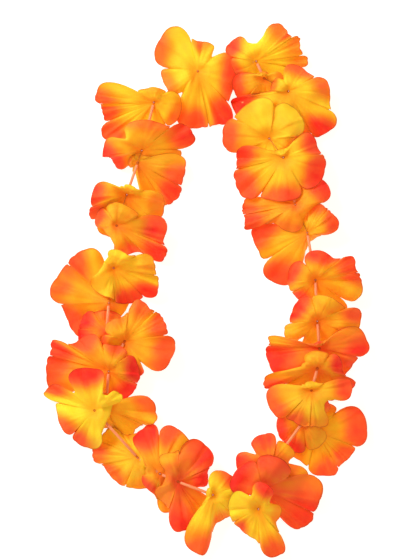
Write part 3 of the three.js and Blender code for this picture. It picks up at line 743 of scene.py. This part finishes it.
def sheet_object(name, places, values, flat, materials):
    """A closed thin sheet from its rows and columns, with values at its points and flat fabric coordinates.

    The first material is the upper face's and that of the edges, the second the lower face's.
    """
    vertices = np.concatenate([side.reshape(-1, 3) for side in two_faces(places)])
    upper, lower, rim, hole = sheet_faces(*places.shape[:2])
    mesh = smooth_mesh(name, vertices, np.concatenate([upper, lower, rim, hole]))
    slots = np.zeros(len(mesh.polygons), dtype=np.int32)
    slots[len(upper) : len(upper) + len(lower)] = 1
    mesh.polygons.foreach_set("material_index", slots)
    for key, grid in values.items():
        layer = mesh.attributes.new(key, "FLOAT", "POINT")
        layer.data.foreach_set("value", np.tile(grid.ravel(), 2))
    corners = np.zeros(len(mesh.loops), dtype=np.int32)
    mesh.loops.foreach_get("vertex_index", corners)
    layer = mesh.uv_layers.new(name="fabric")
    layer.data.foreach_set("uv", np.tile(flat.reshape(-1, 2), (2, 1))[corners].ravel())
    for material in materials:
        mesh.materials.append(material)
    return placed(name, mesh)


def lobe_spot(across, reach, red, side):
    """How fully the red of a lobe covers each point, from its tip or the side that it leans to."""
    deep = RED_DEPTH + RED_DEPTH_GAIN * red
    wide = RED_BREADTH - RED_BREADTH_LOSS * np.abs(side)
    away = np.hypot((1.0 - reach) / deep, (across - RED_LEAN * side) / wide)
    return smooth_step(*RED_GROWS, away)


def streaks_of(count, random):
    """Faint random streaks, one value to a column, with no seam where the last column meets the first."""
    streaks = random.normal(size=count)
    return np.convolve(np.tile(streaks, 3), STREAK_WINDOW, "same")[count : 2 * count]


def ink_of(columns, share, warmth, random):
    """How red the print is at each point: yellow at 0 and deep red at 1."""
    across = columns["across"]
    reach = share * (1 - share * (1 - columns["outline"]))
    base = warmth + HUB_TINT * smooth_step(*HUB_TINT_GROWS, reach)
    own = lobe_spot(across, reach, columns["red"], columns["side"])
    other = lobe_spot(-np.sign(across), reach, columns["other_red"], columns["other_side"])
    ink = base + (np.minimum(columns["red"], 1) - base) * own * (1 - columns["blend"])
    ink = ink + (np.minimum(columns["other_red"], 1) - base) * other * columns["blend"]
    streaks = streaks_of(share.shape[1], random)
    return np.clip(ink + STREAK * streaks * smooth_step(*STREAK_GROWS, reach), 0, 1)


def wear_and_shade_of(share, reach):
    """How much each point goes to brown at the rim and round the hole: melted fabric, and painted shade."""
    rim = smooth_step(*RIM_WEAR_AND_SHADE_GROWS, share)
    hole = smooth_step(*HOLE_WEAR_AND_SHADE_GROWS, reach)
    return np.clip(RIM_WEAR_AND_SHADE * rim + HOLE_WEAR_AND_SHADE * hole, 0, 1)


def linear(c):
    """The linear value of a screen value, both from 0 to 1."""
    return c / 12.92 if c <= 0.04045 else ((c + 0.055) / 1.055) ** 2.4


def shader_colour(parts, full):
    """A colour for a shader, from a screen colour whose parts go up to full."""
    return (*[linear(part / full) for part in parts], 1)


def new_material(name, settings):
    """A material and its shader, with values set on the shader's own sockets."""
    material = bpy.data.materials.new(name)
    material.use_nodes = True
    shader = material.node_tree.nodes["Principled BSDF"]
    for socket, value in settings.items():
        shader.inputs[socket].default_value = value
    return material, shader


def attribute(nodes, name):
    node = nodes.new("ShaderNodeAttribute")
    node.attribute_name = name
    return node.outputs["Fac"]


def noise(nodes, links, place, scale, detail):
    node = nodes.new("ShaderNodeTexNoise")
    node.inputs["Scale"].default_value = scale
    node.inputs["Detail"].default_value = detail
    links.new(place, node.inputs["Vector"])
    return node.outputs["Fac"]


def times_and_plus(nodes, links, value, factor, added):
    """A value times one plain number, plus another."""
    node = nodes.new("ShaderNodeMath")
    node.operation = "MULTIPLY_ADD"
    links.new(value, node.inputs[0])
    node.inputs[1].default_value = factor
    node.inputs[2].default_value = added
    return node.outputs["Value"]


def sum_of(nodes, links, first, second):
    node = nodes.new("ShaderNodeMath")
    node.operation = "ADD"
    links.new(first, node.inputs[0])
    links.new(second, node.inputs[1])
    return node.outputs["Value"]


def colour_ramp(nodes, links, value, stops):
    node = nodes.new("ShaderNodeValToRGB")
    elements = node.color_ramp.elements
    while len(elements) < len(stops):
        elements.new(0.5)
    for element, (place, colour) in zip(elements, stops):
        element.position = place
        element.color = shader_colour(colour, 255)
    links.new(value, node.inputs["Fac"])
    return node.outputs["Color"]


def brown_and_shade(nodes, links, wear_and_shade, colour):
    """A colour that goes to brown at the rim and round the hole, partly melted fabric and partly painted
    shade.
    """
    node = nodes.new("ShaderNodeMix")
    node.data_type = "RGBA"
    links.new(wear_and_shade, node.inputs["Factor"])
    links.new(colour, node.inputs["A"])
    node.inputs["B"].default_value = shader_colour(BROWN_AND_SHADE, 255)
    return node.outputs["Result"]


def bump(nodes, links, height, strength, depth):
    node = nodes.new("ShaderNodeBump")
    node.inputs["Strength"].default_value = strength
    node.inputs["Distance"].default_value = depth
    links.new(height, node.inputs["Height"])
    return node.outputs["Normal"]


def petal_material(name, stops):
    """Printed satin: the ink's colours with a soft mottle, brown rims and holes that are partly painted
    shade, and a fine weave.
    """
    material, shader = new_material(name, PETAL_FINISH)
    nodes = material.node_tree.nodes
    links = material.node_tree.links
    fabric = nodes.new("ShaderNodeUVMap")
    fabric.uv_map = "fabric"
    place = fabric.outputs["UV"]
    mottle = noise(nodes, links, place, MOTTLE_SCALE, MOTTLE_DETAIL)
    mottle = times_and_plus(nodes, links, mottle, MOTTLE, -MOTTLE / 2)
    ink = sum_of(nodes, links, attribute(nodes, "ink"), mottle)
    print_colour = colour_ramp(nodes, links, ink, stops)
    # Brown at the rim and round the hole, partly painted shade.
    colour = brown_and_shade(nodes, links, attribute(nodes, "wear_and_shade"), print_colour)
    links.new(colour, shader.inputs["Base Color"])
    weave = noise(nodes, links, place, WEAVE_SCALE, WEAVE_DETAIL)
    links.new(bump(nodes, links, weave, WEAVE_STRENGTH, WEAVE_DEPTH), shader.inputs["Normal"])
    return material


def plain_material(name, colour, finish):
    return new_material(name, {"Base Color": shader_colour(colour, 1), **finish})[0]


def ring_faces(count, sides, flipped=False):
    """The quads between so many rings of points, the last of which meets the first again."""
    faces = []
    for i in range(count):
        ahead = (i + 1) % count
        for k in range(sides):
            beside = (k + 1) % sides
            face = (i * sides + k, ahead * sides + k, ahead * sides + beside, i * sides + beside)
            faces.append((face[0], face[3], face[2], face[1]) if flipped else face)
    return faces


def ring_angles(sides):
    return np.arange(sides) / sides * 2 * math.pi


def sideways_and_up(path):
    """The two directions square to a closed path, at each of its points."""
    along = np.roll(path, -1, axis=0) - np.roll(path, 1, axis=0)
    along /= np.linalg.norm(along, axis=1, keepdims=True)
    side = np.stack([-along[:, 1], along[:, 0], np.zeros(len(path))], axis=1)
    side /= np.linalg.norm(side, axis=1, keepdims=True)
    return side, np.cross(side, along)


def closed_rod(name, path, radius, sides, material):
    """A round rod along a closed path."""
    side, up = sideways_and_up(path)
    angles = ring_angles(sides)
    ring = side[:, None] * np.cos(angles)[None, :, None] + up[:, None] * np.sin(angles)[None, :, None]
    vertices = (path[:, None] + radius * ring).reshape(-1, 3)
    return mesh_object(name, vertices, ring_faces(len(path), sides), material)


def tube_piece(name, start, end, material):
    """A thin-walled tube between two ends, its rims slightly rounded."""
    length = np.linalg.norm(end - start)
    axis = (end - start) / length
    side = np.cross(axis, [0, 0, 1])
    side /= np.linalg.norm(side)
    up = np.cross(side, axis)
    cut = (TUBE_RADIUS - TUBE_BORE_RADIUS) * TUBE_ROUNDING
    profile = [
        (0.0, TUBE_BORE_RADIUS + cut),
        (0.0, TUBE_RADIUS - cut),
        (cut, TUBE_RADIUS),
        (length - cut, TUBE_RADIUS),
        (length, TUBE_RADIUS - cut),
        (length, TUBE_BORE_RADIUS + cut),
        (length - cut, TUBE_BORE_RADIUS),
        (cut, TUBE_BORE_RADIUS),
    ]
    vertices = [
        start + axis * along + radius * (side * math.cos(angle) + up * math.sin(angle))
        for along, radius in profile
        for angle in ring_angles(TUBE_SIDES)
    ]
    return mesh_object(name, vertices, ring_faces(len(profile), TUBE_SIDES, flipped=True), material)


def thread_path(hubs):
    """Points close together along the whole loop."""
    points = []
    for i, start in enumerate(hubs):
        end = hubs[(i + 1) % len(hubs)]
        steps = max(2, round(np.linalg.norm(end - start) / THREAD_STEP))
        points.extend(start + (end - start) * k / steps for k in range(steps))
    return np.array(points)


def thread_piece(hubs, material):
    """Two plies twisted round each other along the whole loop."""
    path = thread_path(hubs)
    run = np.concatenate([[0], np.cumsum(np.linalg.norm(np.diff(path, axis=0), axis=1))])
    side, up = sideways_and_up(path)
    turns = round(run[-1] / TWIST_PITCH)
    angle = run / run[-1] * turns * 2 * math.pi
    plies = []
    for start in (0, math.pi):
        twist = np.cos(angle + start)[:, None] * side + np.sin(angle + start)[:, None] * up
        ply_path = path + twist * THREAD_RADIUS * PLY_OFFSET
        plies.append(closed_rod("thread_ply", ply_path, THREAD_RADIUS * PLY_RADIUS, PLY_SIDES, material))
    return joined("thread_fine", plies)


def joined(name, pieces):
    """Several objects made one."""
    bpy.ops.object.select_all(action="DESELECT")
    for piece in pieces:
        piece.select_set(True)
    bpy.context.view_layer.objects.active = pieces[0]
    bpy.ops.object.join()
    pieces[0].name = name
    return pieces[0]


class Stretch(NamedTuple):
    """A stretch of the loop between two hubs."""

    start: np.ndarray
    end: np.ndarray
    level: float
    has_tube: bool

    def radius(self):
        return TUBE_RADIUS if self.has_tube else THREAD_RADIUS


def stretches(hubs):
    """Every stretch of the loop, in the order of the flowers before them."""
    found = []
    for i, flower in enumerate(FLOWERS):
        after = (i + 1) % len(FLOWERS)
        level = STRETCH_LEVELS.get(i, (flower.level + FLOWERS[after].level) / 2)
        found.append(Stretch(hubs[i], hubs[after], level, i not in BARE_STRETCHES))
    return found


def stretches_above(i, runs):
    """Those of a flower's two stretches that lie above it, each as hub, far end and radius."""
    leaving = [(runs[i].start, runs[i].end, runs[i]), (runs[i - 1].end, runs[i - 1].start, runs[i - 1])]
    return [(hub, end, run.radius()) for hub, end, run in leaving if run.level > FLOWERS[i].level]


def ceiling_under(x, y, hub, end, radius):
    """Highest place of a sheet under a stretch that leaves its hub above it, and far above elsewhere."""
    run = end - hub
    length = np.hypot(run[0], run[1])
    forward = ((x - hub[0]) * run[0] + (y - hub[1]) * run[1]) / length
    aside = np.abs((y - hub[1]) * run[0] - (x - hub[0]) * run[1]) / length
    radius = np.where(forward > TUBE_END_GAP, radius, THREAD_RADIUS)
    under = (forward > STRETCH_STARTS) & (forward < length) & (aside < radius + STRETCH_MARGIN)
    return np.where(under, hub[2] + run[2] * forward / length - radius - FABRIC, FAR_ABOVE)


def lay_stretch(relief, run):
    """Marks the top of a stretch on the relief."""
    radius = run.radius()
    along_count, across_count = STRETCH_FILL
    path = run.start + (run.end - run.start) * np.linspace(0, 1, along_count)[:, None]
    along = (run.end - run.start)[:2] / np.linalg.norm((run.end - run.start)[:2])
    for offset in np.linspace(-radius, radius, across_count):
        relief.lay(path[:, 0] - along[1] * offset, path[:, 1] + along[0] * offset, path[:, 2] + radius)


def cad_tree(node):
    """The faces of a CAD node, to be met by rays."""
    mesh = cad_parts[node].data
    return BVHTree.FromPolygons([v.co[:] for v in mesh.vertices], [p.vertices[:] for p in mesh.polygons])


def flower_piece(number, flower, node, relief, overhead, materials):
    """The fine sheet of one flower, laid over what has a lower level and under the stretches overhead."""
    random = np.random.default_rng(number)
    columns = columns_of(lobe_angles(flower), random)
    x, y, share, reach = plan_of(flower, columns)
    z = smoothed(heights_on(cad_tree(node), x, y), reach, EVENED_OVER, rounds=2)
    z = z + folds(columns, share, reach, random)
    z = z + crumple(x, y, random) * smooth_step(*CRUMPLE_GROWS, share)
    z = z + laps(columns, share, random)
    for hub, end, radius in overhead:
        z = -lifted(-z, reach, -ceiling_under(x, y, hub, end, radius))
    floor = relief.at(x, y) + CLEARANCE
    held = smooth_step(*HELD_GROWS, reach)
    floor = floor * (1 - held) + np.minimum(floor, z) * held
    z = lifted(z, reach, np.maximum(floor, FABRIC))
    relief.lay_sheet(x, y, z + FABRIC / 2)
    turn = columns["angle"]
    flat = np.stack([share * FLOWER_REACH * np.cos(turn), share * FLOWER_REACH * np.sin(turn)], axis=-1)
    # The second value darkens the rim and the hole: melted fabric and painted shade.
    values = {"ink": ink_of(columns, share, flower.warmth, random), "wear_and_shade": wear_and_shade_of(share, reach)}
    return sheet_object(node + "_fabric", np.stack([x, y, z], axis=-1), values, flat, materials)


def build_flowers(runs):
    """Lays the flowers and the stretches between them from the lowest level to the highest."""
    relief = Relief(*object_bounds())
    materials = (petal_material("petal_front", FRONT_STOPS), petal_material("petal_back", BACK_STOPS))
    laid = [(flower.level, "flower", i) for i, flower in enumerate(FLOWERS)]
    laid += [(run.level, "stretch", i) for i, run in enumerate(runs)]
    for _, kind, i in sorted(laid):
        if kind == "stretch":
            lay_stretch(relief, runs[i])
            continue
        node = f"flower_{i + 1:02d}"
        piece = flower_piece(i + 1, FLOWERS[i], node, relief, stretches_above(i, runs), materials)
        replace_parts(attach(piece, "root"), node)


def build_tubes(runs):
    plastic = plain_material("spacer_tube_plastic", TUBE_COLOUR, TUBE_FINISH)
    with_tube = [run for run in runs if run.has_tube]
    for number, run in enumerate(with_tube, start=1):
        inset = (run.end - run.start) * TUBE_END_GAP / np.linalg.norm(run.end - run.start)
        piece = tube_piece(f"tube_{number:02d}_plastic", run.start + inset, run.end - inset, plastic)
        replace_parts(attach(piece, "root"), f"tube_{number:02d}")


def build_thread(hubs):
    thread = thread_piece(hubs, plain_material("thread_cotton", THREAD_COLOUR_AND_HOLE_SHADE, THREAD_FINISH))
    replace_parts(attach(thread, "root"), "thread")


def build_lei():
    hubs = [np.array([*on_plan(*flower.hub[:2]), flower.hub[2] / 1000]) for flower in FLOWERS]
    runs = stretches(hubs)
    build_flowers(runs)
    build_tubes(runs)
    build_thread(hubs)


def build_floor():
    """A white surface under the lei that keeps nearly white under it."""
    half = FLOOR_HALF
    corners = [(-half, -half, 0), (half, -half, 0), (half, half, 0), (-half, half, 0)]
    white, _ = new_material("white_surface", FLOOR_FINISH)
    floor = mesh_object("white_floor", corners, [(0, 1, 2, 3)], white)


def build_light():
    """A warm room and one soft window, which shines on the lei from the upper left."""
    world = bpy.data.worlds.new("soft_room")
    bpy.context.scene.world = world
    world.use_nodes = True
    background = world.node_tree.nodes["Background"]
    background.inputs["Color"].default_value = ROOM_COLOUR
    background.inputs["Strength"].default_value = ROOM_STRENGTH
    data = bpy.data.lights.new("window_light", "AREA")
    data.shape = "DISK"
    data.size = WINDOW_SIZE
    data.energy = WINDOW_POWER
    light = bpy.data.objects.new("window_light", data)
    light.location = WINDOW_PLACE
    light.rotation_euler = (-Vector(WINDOW_PLACE)).to_track_quat("-Z", "Y").to_euler()
    bpy.context.collection.objects.link(light)
    bpy.context.scene.view_settings.view_transform = "Standard"


def build_camera():
    """Straight above the lei, framed as the photograph."""
    data = bpy.data.cameras.new("photo_camera")
    data.sensor_width = SENSOR_WIDTH
    data.lens = data.sensor_width * CAMERA_HEIGHT / (PHOTO_HEIGHT * PIXEL)
    data.clip_end = VIEW_DEPTH
    camera = bpy.data.objects.new("photo_camera", data)
    camera.location = (*on_plan(*PHOTO_CENTRE), CAMERA_HEIGHT)
    bpy.context.collection.objects.link(camera)
    bpy.context.scene.camera = camera


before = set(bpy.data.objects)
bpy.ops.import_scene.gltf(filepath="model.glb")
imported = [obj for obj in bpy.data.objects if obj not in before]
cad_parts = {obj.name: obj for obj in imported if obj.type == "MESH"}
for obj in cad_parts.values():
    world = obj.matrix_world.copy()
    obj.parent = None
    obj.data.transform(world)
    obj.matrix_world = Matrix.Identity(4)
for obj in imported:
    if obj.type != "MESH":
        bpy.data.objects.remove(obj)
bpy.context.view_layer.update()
build_lei()
build_floor()
build_light()
build_camera()
